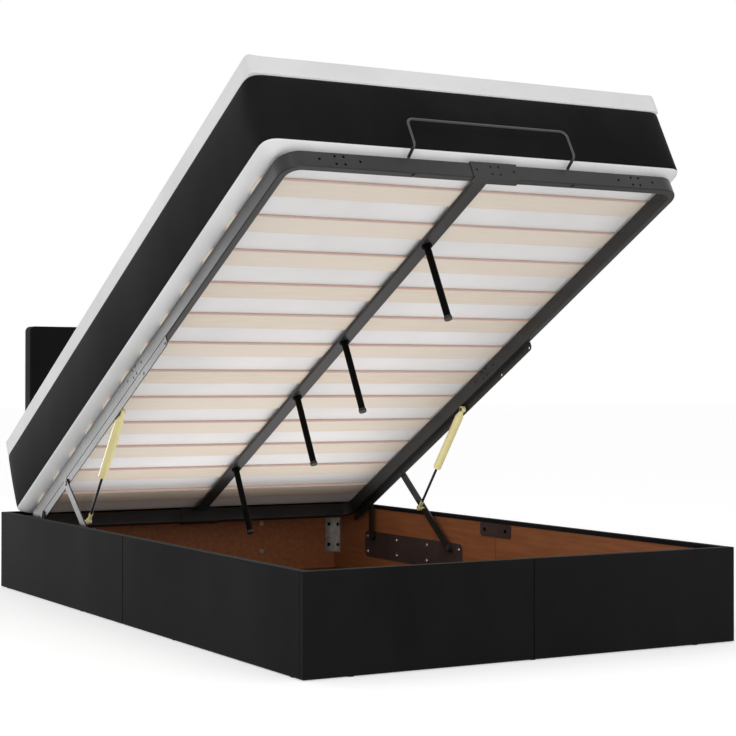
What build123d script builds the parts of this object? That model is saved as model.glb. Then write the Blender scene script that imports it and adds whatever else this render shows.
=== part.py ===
# Lift-up storage bed, single and a half size, shown with its sleeping platform raised.
# The base is a low velvet-covered box on the floor, open on top as a storage well.
# A four-bar linkage on each side, pushed by a gas strut, carries a steel slatted platform
# with the mattress and its topper.  A headboard stands behind the head end.
# X runs across the bed, +Y to the head, +Z up, and the origin is on the floor in the middle.
from math import atan2, cos, hypot, pi, radians, sin, sqrt
import os

from build123d import *

os.makedirs("parts", exist_ok=True)

# Base box
base_width = 1200
base_length = 2050
base_height = 234
glide_height = 1.5
board_thickness = 16
cover_thickness = 2
cover_turn_down = 10
seam_length_share = 0.5035
seam_gap = 2
cover_edge_radius = 1.9
fit_gap = 0.3
cut_overrun = 5

# Headboard
headboard_width = 1012
headboard_height = 818
headboard_thickness = 50
headboard_corner_radius = 16
headboard_edge_radius = 6
headboard_cover_thickness = 3
headboard_back_turn = 35

# Raised platform, measured in its own frame: u across, v from foot to head, w up
platform_tilt = 28.6
raised_head_from_back = 176.2
raised_head_height = 187.3
closed_foot_from_front = 23
closed_foot_height = 188
frame_side_gap = 17
frame_head_gap = 67
rail_width = 20
rail_height = 42
rail_wall = 1.5
rail_edge_radius = 3
frame_corner_radius = 52

# Linkage pivots in the platform's frame, and the link lengths
front_pivot_from_head = 360
front_pivot_depth = 14
front_link_length = 350
rear_pivot_from_head = 130
rear_pivot_depth = 10
rear_link_length = 110
strut_pivot_from_head = 801
strut_pivot_depth = 13
strut_stud_distance = 180
strut_stud_height = 4

# Places worked out from the sizes above
half_width = base_width / 2
foot_y = -(base_length + headboard_thickness) / 2
base_head_y = foot_y + base_length
wall_thickness = board_thickness + cover_thickness
well_half_width = half_width - wall_thickness
board_bottom = glide_height + cover_thickness
board_top = base_height - cover_thickness
seam_from_foot = base_length * seam_length_share
tilt_cos = cos(radians(platform_tilt))
tilt_sin = sin(radians(platform_tilt))
frame_width = 2 * (well_half_width - frame_side_gap)
frame_half_width = frame_width / 2
frame_length = base_length - closed_foot_from_front - frame_head_gap
raised_foot_from_front = base_length - raised_head_from_back - frame_length * tilt_cos
raised_foot_height = raised_head_height + frame_length * tilt_sin
front_pivot = (frame_length - front_pivot_from_head, -front_pivot_depth)
rear_pivot = (frame_length - rear_pivot_from_head, -rear_pivot_depth)
strut_pivot = (frame_length - strut_pivot_from_head, -strut_pivot_depth)

bed = Plane(
    origin=(0, foot_y + raised_foot_from_front, raised_foot_height),
    x_dir=(1, 0, 0),
    z_dir=(0, tilt_sin, tilt_cos),
)


def bed_level(w):
    """Plane parallel to the slats at height w, with sketch axes across and towards the head."""
    return bed.offset(w)


def bed_side(u):
    """Upright plane along the platform at offset u, with sketch axes towards the head and up."""
    return Plane(origin=bed.from_local_coords((u, 0, 0)), x_dir=bed.y_dir, z_dir=bed.x_dir)


def bed_foot(v):
    """Plane across the platform at v, facing the foot, with sketch axes across and up."""
    return Plane(origin=bed.from_local_coords((0, v, 0)), x_dir=bed.x_dir, z_dir=-bed.y_dir)


def side_plane(x):
    """Upright plane along the bed at offset x, with sketch axes towards the head and up."""
    return Plane(origin=(x, 0, 0), x_dir=(0, 1, 0), z_dir=(1, 0, 0))


def raised_point(v, w):
    """Place of platform point (v, w) in the row's y and z with the platform raised."""
    place = bed.from_local_coords((0, v, w))
    return place.Y, place.Z


def closed_point(v, w):
    """Place of platform point (v, w) in y and z with the platform shut."""
    return foot_y + closed_foot_from_front + v, closed_foot_height + w


def fixed_pivot(v, w, length):
    """Base pivot of a link: as far from the raised as from the shut place of its upper pivot."""
    y_up, z_up = raised_point(v, w)
    y_shut, z_shut = closed_point(v, w)
    chord = hypot(y_shut - y_up, z_shut - z_up)
    height = sqrt(length ** 2 - (chord / 2) ** 2)
    middle_y, middle_z = (y_up + y_shut) / 2, (z_up + z_shut) / 2
    return middle_y + height * (z_shut - z_up) / chord, middle_z - height * (y_shut - y_up) / chord


def save(piece, label):
    """Label a finished part and write it to its own file."""
    piece.part.label = label
    export_step(piece.part, f"parts/{label}.step")


# Side boards of the base: two lengths a side, butted at a seam
side_sign = {"left": -1, "right": 1}
side_foot_end = foot_y + wall_thickness
board_bolt_radius = 3
board_bolt_slack = 0.3

joining_plate_length = 160
joining_plate_height = 40
joining_plate_thickness = 3
joining_bolt_spacing = 110
joining_plate_z = board_top - cover_turn_down - fit_gap - joining_plate_height / 2
foot_joining_plate_z = closed_foot_height - joining_plate_height

bracket_leg = 40
bracket_height = 120
bracket_thickness = 2.5
bracket_middle_z = (board_bottom + board_top) / 2
bracket_bolt_inset = 25
bracket_bolt_rise = 35

# Hinge plates on the side boards carry the links' fixed pivots
hinge_plate_thickness = 3
hinge_plate_bottom = 60
hinge_plate_margin = 60
hinge_plate_rise = 14
hinge_plate_corner_radius = 18
hinge_bolt_radius = 4
hinge_bolt_inset = 18
hinge_bolt_columns = 4
front_fixed_y, front_fixed_z = fixed_pivot(*front_pivot, front_link_length)
rear_fixed_y, rear_fixed_z = fixed_pivot(*rear_pivot, rear_link_length)
hinge_plate_top = front_fixed_z + hinge_plate_rise
hinge_plate_foot_y = front_fixed_y - hinge_plate_margin
hinge_plate_head_y = rear_fixed_y + hinge_plate_margin
hinge_plate_length = hinge_plate_head_y - hinge_plate_foot_y
hinge_plate_height = hinge_plate_top - hinge_plate_bottom
hinge_plate_middle = (
    hinge_plate_foot_y + hinge_plate_length / 2,
    hinge_plate_bottom + hinge_plate_height / 2,
)
hinge_bolt_pitch = (hinge_plate_length - 2 * hinge_bolt_inset) / (hinge_bolt_columns - 1)
hinge_bolt_places = [
    (hinge_plate_foot_y + hinge_bolt_inset + column * hinge_bolt_pitch, z)
    for column in range(hinge_bolt_columns)
    for z in (hinge_plate_bottom + hinge_bolt_inset, hinge_plate_top - hinge_bolt_inset)
]
head_board_inner_y = base_head_y - wall_thickness
seam_y = foot_y + seam_from_foot
joint_bolt_places = [(seam_y + sign * joining_bolt_spacing / 2, joining_plate_z) for sign in (-1, 1)]
for end_y in (side_foot_end + bracket_bolt_inset, head_board_inner_y - bracket_bolt_inset):
    for rise in (-bracket_bolt_rise, bracket_bolt_rise):
        joint_bolt_places.append((end_y, bracket_middle_z + rise))

for side, sign in side_sign.items():
    ends = {"foot": (side_foot_end, seam_y - seam_gap / 2), "head": (seam_y + seam_gap / 2, base_head_y)}
    for end, (start_y, stop_y) in ends.items():
        length = stop_y - start_y
        middle_y = (start_y + stop_y) / 2
        board_middle_z = (board_bottom + board_top) / 2
        with BuildPart() as side_board:
            with BuildSketch(side_plane(sign * well_half_width)):
                with Locations((middle_y, board_middle_z)):
                    Rectangle(length, board_top - board_bottom)
            extrude(amount=sign * board_thickness)
            with BuildSketch(side_plane(sign * well_half_width)):
                for y, z in joint_bolt_places:
                    if start_y < y < stop_y:
                        with Locations((y, z)):
                            Circle(board_bolt_radius + board_bolt_slack)
                for y, z in hinge_bolt_places:
                    if start_y < y < stop_y:
                        with Locations((y, z)):
                            Circle(hinge_bolt_radius + board_bolt_slack)
            extrude(amount=sign * board_thickness, mode=Mode.SUBTRACT)
        save(side_board, f"side_board_{side}_{end}")

        # Velvet wraps the outer face, the top and bottom edges, and turns down inside the top
        with BuildPart() as side_cover:
            with BuildSketch(side_plane(sign * half_width)):
                with Locations((middle_y, (glide_height + base_height) / 2)):
                    Rectangle(length, base_height - glide_height)
            extrude(amount=-sign * (wall_thickness + cover_thickness))
            outer_face = side_cover.faces().sort_by(Axis.X)[-1 if sign > 0 else 0]
            fillet(outer_face.edges(), radius=cover_edge_radius)
            with BuildSketch(side_plane(sign * (half_width - cover_thickness))):
                with Locations((middle_y, board_middle_z)):
                    Rectangle(length, board_top - board_bottom)
            extrude(amount=-sign * board_thickness, mode=Mode.SUBTRACT)
            inner_bottom = glide_height - cut_overrun
            inner_top = board_top - cover_turn_down
            with BuildSketch(side_plane(sign * well_half_width)):
                with Locations((middle_y, (inner_bottom + inner_top) / 2)):
                    Rectangle(length, inner_top - inner_bottom)
            extrude(amount=-sign * (cover_thickness + cut_overrun), mode=Mode.SUBTRACT)
        save(side_cover, f"side_cover_{side}_{end}")

# Foot boards: two halves that cover the ends of the side boards, joined at a middle seam
foot_inner_y = foot_y + wall_thickness
turn_down_half_width = well_half_width - cover_thickness - fit_gap
for side, sign in side_sign.items():
    inner_x = seam_gap / 2
    board_length = half_width - cover_thickness - inner_x
    cover_length = half_width - inner_x
    with BuildPart() as foot_board:
        with BuildSketch(Plane.XZ.offset(-(foot_y + cover_thickness))):
            with Locations((sign * (inner_x + board_length / 2), (board_bottom + board_top) / 2)):
                Rectangle(board_length, board_top - board_bottom)
        extrude(amount=-board_thickness)
        with BuildSketch(Plane.XZ.offset(-(foot_y + cover_thickness))):
            with Locations((sign * joining_bolt_spacing / 2, foot_joining_plate_z)):
                Circle(board_bolt_radius + board_bolt_slack)
            for rise in (-bracket_bolt_rise, bracket_bolt_rise):
                with Locations((sign * (well_half_width - bracket_bolt_inset), bracket_middle_z + rise)):
                    Circle(board_bolt_radius + board_bolt_slack)
        extrude(amount=-board_thickness, mode=Mode.SUBTRACT)
    save(foot_board, f"foot_board_{side}")

    with BuildPart() as foot_cover:
        with BuildSketch(Plane.XZ.offset(-foot_y)):
            with Locations((sign * (inner_x + cover_length / 2), (glide_height + base_height) / 2)):
                Rectangle(cover_length, base_height - glide_height)
        extrude(amount=-wall_thickness)
        front_edges = foot_cover.faces().sort_by(Axis.Y)[0].edges()
        end_edges = foot_cover.faces().sort_by(Axis.X)[-1 if sign > 0 else 0].edges()
        outer_edges = front_edges + [edge for edge in end_edges if edge not in front_edges]
        fillet(outer_edges, radius=cover_edge_radius)
        with BuildSketch(Plane.XZ.offset(-(foot_y + cover_thickness))):
            with Locations((sign * (inner_x + board_length / 2), (board_bottom + board_top) / 2)):
                Rectangle(board_length, board_top - board_bottom)
        extrude(amount=-(board_thickness + cut_overrun), mode=Mode.SUBTRACT)
        turn_length = turn_down_half_width - inner_x
        turn_height = base_height - board_top + cover_turn_down
        with BuildSketch(Plane.XZ.offset(-foot_inner_y)):
            with Locations((sign * (inner_x + turn_length / 2), base_height - turn_height / 2)):
                Rectangle(turn_length, turn_height)
        extrude(amount=-cover_thickness)
    save(foot_cover, f"foot_cover_{side}")

# Head board of the base, between the side boards, bolted through to the headboard
headboard_bolt_radius = 4
headboard_bolt_spacing = 600
headboard_bolt_low_z = 70
headboard_bolt_high_z = 165
headboard_bolt_places = [
    (sign * headboard_bolt_spacing / 2, z)
    for sign in (-1, 1)
    for z in (headboard_bolt_low_z, headboard_bolt_high_z)
]
head_board_half = well_half_width - cover_thickness
head_board_middle = (0, (board_bottom + board_top) / 2)
with BuildPart() as head_board:
    with BuildSketch(Plane.XZ.offset(-head_board_inner_y)):
        with Locations(head_board_middle):
            Rectangle(2 * head_board_half, board_top - board_bottom)
    extrude(amount=-board_thickness)
    with BuildSketch(Plane.XZ.offset(-head_board_inner_y)):
        with Locations(*headboard_bolt_places):
            Circle(headboard_bolt_radius + board_bolt_slack)
        for sign in (-1, 1):
            for rise in (-bracket_bolt_rise, bracket_bolt_rise):
                with Locations((sign * (well_half_width - bracket_bolt_inset), bracket_middle_z + rise)):
                    Circle(board_bolt_radius + board_bolt_slack)
    extrude(amount=-board_thickness, mode=Mode.SUBTRACT)
save(head_board, "head_board")

with BuildPart() as head_cover:
    with BuildSketch(Plane.XZ.offset(-base_head_y)):
        with Locations((0, (glide_height + base_height) / 2)):
            Rectangle(2 * head_board_half, base_height - glide_height)
    extrude(amount=wall_thickness + cover_thickness)
    with BuildSketch(Plane.XZ.offset(-(base_head_y - cover_thickness))):
        with Locations(head_board_middle):
            Rectangle(2 * head_board_half, board_top - board_bottom)
    extrude(amount=board_thickness, mode=Mode.SUBTRACT)
    inner_top = board_top - cover_turn_down
    with BuildSketch(Plane.XZ.offset(-head_board_inner_y)):
        with Locations((0, inner_top / 2)):
            Rectangle(2 * head_board_half, inner_top)
    extrude(amount=cover_thickness + cut_overrun, mode=Mode.SUBTRACT)
    with BuildSketch(Plane.XZ.offset(-base_head_y)):
        with Locations(*headboard_bolt_places):
            Circle(headboard_bolt_radius + board_bolt_slack)
    extrude(amount=cover_thickness, mode=Mode.SUBTRACT)
save(head_cover, "head_cover")

# Steel joining plates across the seams
with BuildPart() as joining_plates:
    seam_planes = [
        (side_plane(sign * well_half_width), seam_y, joining_plate_z, -sign)
        for sign in side_sign.values()
    ]
    seam_planes.append((Plane.XZ.offset(-foot_inner_y), 0, foot_joining_plate_z, -1))
    for plane, seam_place, plate_z, inward in seam_planes:
        with BuildSketch(plane):
            with Locations((seam_place, plate_z)):
                RectangleRounded(joining_plate_length, joining_plate_height, joining_plate_height / 5)
                with GridLocations(joining_bolt_spacing, 0, 2, 1):
                    Circle(board_bolt_radius + board_bolt_slack, mode=Mode.SUBTRACT)
        extrude(amount=inward * joining_plate_thickness)
save(joining_plates, "joining_plates")

# Steel angle brackets in the four inner corners
with BuildPart() as corner_brackets:
    bracket_ends = [(foot_inner_y, 1), (head_board_inner_y, -1)]
    for sign in (-1, 1):
        for end_y, into_well in bracket_ends:
            corner_x = sign * well_half_width
            with BuildSketch(Plane.XY.offset(bracket_middle_z - bracket_height / 2)):
                with BuildLine():
                    Polyline(
                        (corner_x, end_y),
                        (corner_x, end_y + into_well * bracket_leg),
                        (corner_x - sign * bracket_thickness, end_y + into_well * bracket_leg),
                        (corner_x - sign * bracket_thickness, end_y + into_well * bracket_thickness),
                        (corner_x - sign * bracket_leg, end_y + into_well * bracket_thickness),
                        (corner_x - sign * bracket_leg, end_y),
                        close=True,
                    )
                make_face()
            extrude(amount=bracket_height)
            for rise in (-bracket_bolt_rise, bracket_bolt_rise):
                with BuildSketch(side_plane(corner_x)):
                    with Locations((end_y + into_well * bracket_bolt_inset, bracket_middle_z + rise)):
                        Circle(board_bolt_radius + board_bolt_slack)
                extrude(amount=-sign * bracket_thickness, mode=Mode.SUBTRACT)
                with BuildSketch(Plane.XZ.offset(-end_y)):
                    with Locations((corner_x - sign * bracket_bolt_inset, bracket_middle_z + rise)):
                        Circle(board_bolt_radius + board_bolt_slack)
                extrude(amount=-into_well * bracket_thickness, mode=Mode.SUBTRACT)
save(corner_brackets, "corner_brackets")

# Panel screws with pan heads on the brackets and joining plates
panel_screw_head_radius = 6
panel_screw_head_height = 2.5
panel_screw_bite = 12


def pan_screw(grip, radius, head_radius, head_height, bite):
    """A screw along +Z: the head stands on a plate of thickness grip, the shank bites the wood behind."""
    with BuildPart() as screw:
        with BuildSketch(Plane.XY.offset(grip)):
            Circle(head_radius)
        extrude(amount=head_height, taper=20)
        with BuildSketch(Plane.XY.offset(grip)):
            Circle(radius)
        extrude(amount=-(grip + bite))
    return screw.part


def panel_screw(grip):
    """The screw of the base's fittings, for a plate of the given thickness."""
    head = (panel_screw_head_radius, panel_screw_head_height)
    return pan_screw(grip, board_bolt_radius, *head, panel_screw_bite)


with BuildPart() as panel_screws:
    for sign in side_sign.values():
        for y, z in joint_bolt_places:
            on_seam = abs(y - seam_y) < joining_plate_length
            with Locations(Plane(origin=(sign * well_half_width, y, z), z_dir=(-sign, 0, 0))):
                add(panel_screw(joining_plate_thickness if on_seam else bracket_thickness))
        for end_y, into_well in bracket_ends:
            for rise in (-bracket_bolt_rise, bracket_bolt_rise):
                screw_x = sign * (well_half_width - bracket_bolt_inset)
                screw_foot = (screw_x, end_y, bracket_middle_z + rise)
                with Locations(Plane(origin=screw_foot, z_dir=(0, into_well, 0))):
                    add(panel_screw(bracket_thickness))
        seam_screw = (sign * joining_bolt_spacing / 2, foot_inner_y, foot_joining_plate_z)
        with Locations(Plane(origin=seam_screw, z_dir=(0, 1, 0))):
            add(panel_screw(joining_plate_thickness))
save(panel_screws, "panel_screws")

# Hardboard panels lie loose on the floor inside the base, under a plastic joining strip
floor_panel_thickness = 3
floor_panel_clearance = 0.5
floor_strip_width = 30
floor_strip_thickness = 1.5
well_foot_y = foot_inner_y + floor_panel_clearance
well_head_y = head_board_inner_y - floor_panel_clearance
floor_split_y = (well_foot_y + well_head_y) / 2
floor_panel_width = 2 * (well_half_width - floor_panel_clearance)
floor_spans = {"foot": (well_foot_y, floor_split_y - floor_panel_clearance),
               "head": (floor_split_y + floor_panel_clearance, well_head_y)}
for end, (start_y, stop_y) in floor_spans.items():
    with BuildPart() as floor_panel:
        with BuildSketch(Plane.XY):
            with Locations((0, (start_y + stop_y) / 2)):
                Rectangle(floor_panel_width, stop_y - start_y)
        extrude(amount=floor_panel_thickness)
    save(floor_panel, f"floor_panel_{end}")

with BuildPart() as floor_strip:
    with BuildSketch(Plane.XY.offset(floor_panel_thickness)):
        with Locations((0, floor_split_y)):
            Rectangle(floor_panel_width, floor_strip_width)
    extrude(amount=floor_strip_thickness)
    with BuildSketch(Plane.XY):
        with Locations((0, floor_split_y)):
            Rectangle(floor_panel_width, 2 * floor_panel_clearance)
    extrude(amount=floor_panel_thickness)
save(floor_strip, "floor_strip")

# Plastic glides nailed under the walls
glide_radius = 8
glides_per_side = 4
glides_per_end = 3
glide_end_inset = 60
with BuildPart() as floor_glides:
    wall_middle = half_width - wall_thickness / 2
    side_glide_pitch = (base_length - 2 * glide_end_inset) / (glides_per_side - 1)
    end_glide_pitch = (base_width - 4 * glide_end_inset) / (glides_per_end - 1)
    side_glide_y = foot_y + base_length / 2
    with BuildSketch(Plane.XY):
        with Locations((0, side_glide_y)):
            with GridLocations(2 * wall_middle, side_glide_pitch, 2, glides_per_side):
                Circle(glide_radius)
        for wall_y in (foot_y + wall_thickness / 2, base_head_y - wall_thickness / 2):
            with Locations((0, wall_y)):
                with GridLocations(end_glide_pitch, 0, glides_per_end, 1):
                    Circle(glide_radius)
    extrude(amount=glide_height)
save(floor_glides, "floor_glides")

# Hinge plates with turned bosses that carry the links clear of the wall
link_gap = 1
link_thickness = 4
link_width = 26
link_pin_radius = 5
pin_clearance = 0.25
side_plate_thickness = 3
side_plate_inner_x = frame_half_width - side_plate_thickness
link_inner_x = frame_half_width + link_gap
link_outer_x = link_inner_x + link_thickness
hinge_plate_inner_x = well_half_width - hinge_plate_thickness
boss_radius = 11
rivet_head_radius = 8
rivet_head_height = 2
for side, sign in side_sign.items():
    with BuildPart() as hinge_plate:
        with BuildSketch(side_plane(sign * well_half_width)):
            with Locations(hinge_plate_middle):
                RectangleRounded(hinge_plate_length, hinge_plate_height, radius=hinge_plate_corner_radius)
            with Locations(*hinge_bolt_places):
                Circle(hinge_bolt_radius + board_bolt_slack, mode=Mode.SUBTRACT)
        extrude(amount=-sign * hinge_plate_thickness)
        boss_length = hinge_plate_inner_x - link_outer_x - fit_gap
        with BuildSketch(side_plane(sign * hinge_plate_inner_x)):
            with Locations((front_fixed_y, front_fixed_z)):
                Circle(boss_radius)
        extrude(amount=-sign * boss_length)
        pin_length = hinge_plate_inner_x - link_inner_x + fit_gap
        with BuildSketch(side_plane(sign * hinge_plate_inner_x)):
            with Locations((front_fixed_y, front_fixed_z)):
                Circle(link_pin_radius)
        extrude(amount=-sign * pin_length)
        with BuildSketch(side_plane(sign * (hinge_plate_inner_x - pin_length))):
            with Locations((front_fixed_y, front_fixed_z)):
                Circle(rivet_head_radius)
        extrude(amount=-sign * rivet_head_height, taper=15)
    save(hinge_plate, f"hinge_plate_{side}")

hinge_bolt_head_radius = 7
hinge_bolt_head_height = 4
hinge_bolt_bite = 13
with BuildPart() as hinge_bolts:
    for sign in (-1, 1):
        for y, z in hinge_bolt_places:
            with Locations(Plane(origin=(sign * well_half_width, y, z), z_dir=(-sign, 0, 0))):
                add(pan_screw(hinge_plate_thickness, hinge_bolt_radius,
                              hinge_bolt_head_radius, hinge_bolt_head_height, hinge_bolt_bite))
save(hinge_bolts, "hinge_bolts")

# Headboard: a padded slab that stands on the floor and is bolted to the base's head board
headboard_back_y = base_head_y + headboard_thickness
headboard_core_inset = headboard_cover_thickness
headboard_core_radius = headboard_corner_radius - headboard_core_inset
headboard_middle_z = (glide_height + headboard_height) / 2
headboard_cover_height = headboard_height - glide_height


def headboard_outline(inset):
    """Front outline of the headboard, drawn in by an inset, with its two top corners rounded."""
    with Locations((0, headboard_middle_z)):
        Rectangle(headboard_width - 2 * inset, headboard_cover_height - 2 * inset)


with BuildPart() as headboard_core:
    with BuildSketch(Plane.XZ.offset(-(base_head_y + headboard_core_inset))) as core_outline:
        headboard_outline(headboard_core_inset)
        fillet(core_outline.vertices().group_by(Axis.Y)[-1], radius=headboard_core_radius)
    extrude(amount=-(headboard_thickness - headboard_core_inset))
    with BuildSketch(Plane.XZ.offset(-(base_head_y + headboard_core_inset))):
        with Locations(*headboard_bolt_places):
            Circle(headboard_bolt_radius + board_bolt_slack)
    extrude(amount=-headboard_thickness / 2, mode=Mode.SUBTRACT)
save(headboard_core, "headboard_core")

with BuildPart() as headboard_cover:
    with BuildSketch(Plane.XZ.offset(-base_head_y)) as cover_outline:
        headboard_outline(0)
        fillet(cover_outline.vertices().group_by(Axis.Y)[-1], radius=headboard_corner_radius)
    extrude(amount=-headboard_thickness)
    fillet(headboard_cover.faces().sort_by(Axis.Y)[0].edges(), radius=headboard_edge_radius)
    with BuildSketch(Plane.XZ.offset(-(base_head_y + headboard_core_inset))) as hollow_outline:
        headboard_outline(headboard_core_inset)
        fillet(hollow_outline.vertices().group_by(Axis.Y)[-1], radius=headboard_core_radius)
    extrude(amount=-(headboard_thickness + cut_overrun), mode=Mode.SUBTRACT)
    with BuildSketch(Plane.XZ.offset(-base_head_y)):
        with Locations(*headboard_bolt_places):
            Circle(headboard_bolt_radius + board_bolt_slack)
    extrude(amount=-headboard_core_inset, mode=Mode.SUBTRACT)
save(headboard_cover, "headboard_cover")

# Bolts from inside the well through the head board into the headboard
headboard_bolt_reach = wall_thickness + headboard_core_inset + headboard_thickness / 3
headboard_bolt_head_radius = 9
headboard_bolt_head_height = 3
with BuildPart() as headboard_bolts:
    for x, z in headboard_bolt_places:
        with Locations(Plane(origin=(x, head_board_inner_y, z), z_dir=(0, -1, 0))):
            add(pan_screw(0, headboard_bolt_radius,
                          headboard_bolt_head_radius, headboard_bolt_head_height, headboard_bolt_reach))
save(headboard_bolts, "headboard_bolts")

# Small round caps on the headboard's two side edges, and two glides under it
headboard_cap_radius = 8.5
headboard_cap_thickness = 4
headboard_cap_height = 497
with BuildPart() as headboard_caps:
    for sign in (-1, 1):
        with BuildSketch(side_plane(sign * headboard_width / 2)):
            with Locations((base_head_y + headboard_thickness / 2, headboard_cap_height)):
                Circle(headboard_cap_radius)
        extrude(amount=sign * headboard_cap_thickness)
    tips = headboard_caps.edges().filter_by(GeomType.CIRCLE).group_by(Axis.X)
    fillet(tips[0] + tips[-1], radius=headboard_cap_thickness / 2)
save(headboard_caps, "headboard_caps")

with BuildPart() as headboard_glides:
    with BuildSketch(Plane.XY):
        with Locations((0, base_head_y + headboard_thickness / 2)):
            with GridLocations(headboard_width - 2 * glide_end_inset, 0, 2, 1):
                Circle(glide_radius)
    extrude(amount=glide_height)
save(headboard_glides, "headboard_glides")

# Links: flat steel bars.  The front pair lifts the platform and takes the struts' lower studs
front_fixed, rear_fixed = (front_fixed_y, front_fixed_z), (rear_fixed_y, rear_fixed_z)
front_top = raised_point(*front_pivot)
rear_top = raised_point(*rear_pivot)


def link_bar(sign, start, stop, end_hole, top_hole):
    """Flat bar with round ends between two pivots, on one side of the bed."""
    with BuildPart() as bar:
        with BuildSketch(side_plane(sign * link_inner_x)):
            with Locations(start, stop):
                Circle(link_width / 2)
            make_hull()
            with Locations(start):
                Circle(end_hole, mode=Mode.SUBTRACT)
            with Locations(stop):
                Circle(top_hole, mode=Mode.SUBTRACT)
        extrude(amount=sign * link_thickness)
    return bar.part


def link_rivet(sign, reach):
    """Rivet along +X from a link into the side plate: head, shank, and a formed head inside."""
    with BuildPart() as rivet:
        with BuildSketch(side_plane(sign * link_outer_x)):
            Circle(rivet_head_radius)
        extrude(amount=sign * rivet_head_height, taper=15)
        with BuildSketch(side_plane(sign * link_outer_x)):
            Circle(link_pin_radius)
        extrude(amount=-sign * reach)
        with BuildSketch(side_plane(sign * (link_outer_x - reach))):
            Circle(rivet_head_radius)
        extrude(amount=-sign * rivet_head_height, taper=15)
    return rivet.part


rivet_reach = link_outer_x - side_plate_inner_x + pin_clearance
pivot_hole = link_pin_radius + pin_clearance
rear_foot_boss = hinge_plate_inner_x - fit_gap - link_outer_x
for side, sign in side_sign.items():
    with BuildPart() as front_link:
        add(link_bar(sign, front_fixed, front_top, pivot_hole, link_pin_radius))
        with Locations((0, *front_top)):
            add(link_rivet(sign, rivet_reach))
    save(front_link, f"front_link_{side}")

    with BuildPart() as rear_link:
        add(link_bar(sign, rear_fixed, rear_top, link_pin_radius, link_pin_radius))
        with Locations((0, *rear_top)):
            add(link_rivet(sign, rivet_reach))
        with BuildSketch(side_plane(sign * link_inner_x)):
            with Locations(rear_fixed):
                Circle(boss_radius)
        extrude(amount=sign * (link_thickness + rear_foot_boss))
    save(rear_link, f"rear_link_{side}")

# Platform frame: bent steel tube in two halves, butted in the middle of the foot and head rails
hole_radius = 3.3
hole_group_inset = 143
hole_pair_width = 23
hole_pair_height = 21
hole_single_offset = 53
side_holes_from_head = 964
wire_radius = 4
wire_half_width = 228
hole_group_offset = frame_half_width - hole_group_inset
frame_middle_v = frame_length / 2
for side, sign in side_sign.items():
    with BuildPart() as frame_half:
        with BuildSketch(bed_level(0)):
            with Locations((0, frame_middle_v)):
                RectangleRounded(frame_width, frame_length, radius=frame_corner_radius)
                RectangleRounded(frame_width - 2 * rail_width, frame_length - 2 * rail_width,
                                 radius=frame_corner_radius - rail_width, mode=Mode.SUBTRACT)
        extrude(amount=rail_height)
        rims = frame_half.faces().filter_by(lambda face: abs(face.normal_at().dot(bed.z_dir)) > 0.9)
        fillet(rims.edges(), radius=rail_edge_radius)
        with BuildSketch(bed_level(rail_wall)):
            with Locations((0, frame_middle_v)):
                RectangleRounded(frame_width - 2 * rail_wall, frame_length - 2 * rail_wall,
                                 radius=frame_corner_radius - rail_wall)
                RectangleRounded(frame_width - 2 * rail_width + 2 * rail_wall,
                                 frame_length - 2 * rail_width + 2 * rail_wall,
                                 radius=frame_corner_radius - rail_width + rail_wall, mode=Mode.SUBTRACT)
        extrude(amount=rail_height - 2 * rail_wall, mode=Mode.SUBTRACT)
        with BuildSketch(bed_foot(0)):
            with Locations((sign * hole_group_offset, rail_height / 2)):
                with GridLocations(hole_pair_width, hole_pair_height, 2, 2):
                    Circle(hole_radius)
                with GridLocations(2 * hole_single_offset, 0, 2, 1):
                    Circle(hole_radius)
        extrude(amount=-2 * rail_wall, mode=Mode.SUBTRACT)
        with BuildSketch(bed_side(sign * frame_half_width)):
            with Locations((frame_length - side_holes_from_head, rail_height / 2)):
                with GridLocations(hole_pair_width, hole_pair_height, 2, 2):
                    Circle(hole_radius)
                with GridLocations(2 * hole_single_offset, 0, 2, 1):
                    Circle(hole_radius)
        extrude(amount=-sign * rail_width, mode=Mode.SUBTRACT)
        with BuildSketch(bed_level(0)):
            with Locations((sign * wire_half_width, rail_width / 2)):
                Circle(wire_radius + pin_clearance)
        extrude(amount=rail_height, mode=Mode.SUBTRACT)
        split(bisect_by=bed_side(0), keep=Keep.TOP if sign > 0 else Keep.BOTTOM)
    save(frame_half, f"frame_{side}")

# Sleeves over the two butt joints, each with a tongue that the centre bar slides over
sleeve_length = 132
sleeve_wall = 2
centre_bar_width = 40
centre_bar_height = 10
centre_bar_wall = 1.5
tongue_length = 60
tongue_clearance = 0.2
with BuildPart() as frame_sleeves:
    for rail_v, inward in ((rail_width / 2, 1), (frame_length - rail_width / 2, -1)):
        with BuildSketch(bed_foot(rail_v)) as sleeve_outline:
            with Locations((0, rail_height / 2)):
                Rectangle(sleeve_length, rail_height + 2 * sleeve_wall)
        extrude(amount=rail_width / 2 + sleeve_wall, both=True)
        with BuildSketch(bed_foot(rail_v)):
            with Locations((0, rail_height / 2)):
                Rectangle(sleeve_length, rail_height)
        extrude(amount=rail_width / 2, both=True, mode=Mode.SUBTRACT)
        tongue_middle_w = rail_height - centre_bar_height / 2
        with BuildSketch(bed_foot(rail_v + inward * (rail_width / 2 + sleeve_wall))):
            with Locations((0, tongue_middle_w)):
                Rectangle(centre_bar_width - 2 * centre_bar_wall - 2 * tongue_clearance,
                          centre_bar_height - 2 * centre_bar_wall - 2 * tongue_clearance)
        extrude(amount=-inward * tongue_length)
    with BuildSketch(bed_foot(-sleeve_wall)):
        with Locations((0, rail_height / 2)):
            with GridLocations(hole_pair_width, hole_pair_height, 2, 2):
                Circle(hole_radius)
            with GridLocations(2 * hole_single_offset, 0, 2, 1):
                Circle(hole_radius)
    extrude(amount=-sleeve_wall, mode=Mode.SUBTRACT)
save(frame_sleeves, "frame_sleeves")

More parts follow.
